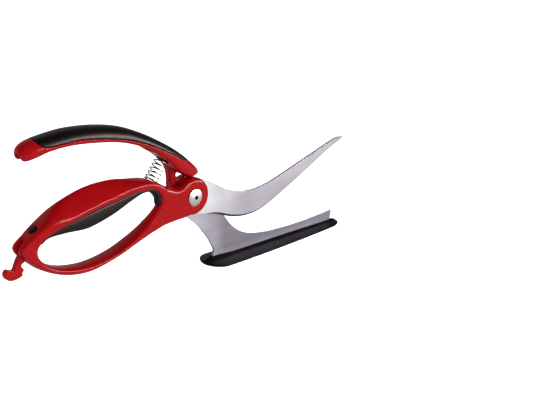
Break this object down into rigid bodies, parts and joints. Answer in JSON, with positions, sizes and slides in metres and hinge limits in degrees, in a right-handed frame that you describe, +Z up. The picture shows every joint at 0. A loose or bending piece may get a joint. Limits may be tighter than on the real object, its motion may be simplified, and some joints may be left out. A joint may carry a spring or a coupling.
{
  "type": "pizza scissors",
  "caption": "Sprung pizza scissors: an arched padded handle with lower blade and flat foot, pivoted to a padded loop handle with a long upper blade, and a locking hook.",
  "frame": {"origin": "on the foot's flat underside, below the middle of the foot", "axes": "+X from the handles to the blade tips, +Z up, -Y towards the side with the bolt head"},
  "size_m": [0.3197, 0.0308, 0.1315],
  "materials": {
    "red_plastic": "satin gloss",
    "soft_grip": "matt",
    "black_nylon": "satin",
    "blade_steel": "brushed lengthwise",
    "bright_steel": "polished",
    "spring_steel": "drawn wire"
  },
  "bodies": {
    "rear_half": {"upper_handle": "red_plastic", "upper_grip": "soft_grip", "lower_blade": "blade_steel", "foot": "black_nylon", "pivot_bolt": "bright_steel", "pivot_nut": "bright_steel", "front_washer": "bright_steel", "rear_washer": "bright_steel"},
    "front_half": {"lower_handle": "red_plastic", "finger_grip": "soft_grip", "upper_blade": "blade_steel", "bumper": "soft_grip", "hook_pin": "bright_steel", "spring": "spring_steel"},
    "latch": {"hook": "red_plastic"}
  },
  "joints": [
    {"name": "blade_pivot", "type": "hinge", "parent": "rear_half", "child": "front_half", "pos_m": [-0.08575, 0, 0.06], "axis": [0, 1, 0], "range_deg": [0, 22], "stiffness_Nm_per_rad": 0.6, "springref_deg": -20.05, "deforming": ["spring"]},
    {"name": "hook_swing", "type": "hinge", "parent": "front_half", "child": "latch", "pos_m": [-0.22875, 0, 0.0515], "axis": [0, 1, 0], "range_deg": [0, 125]}
  ]
}
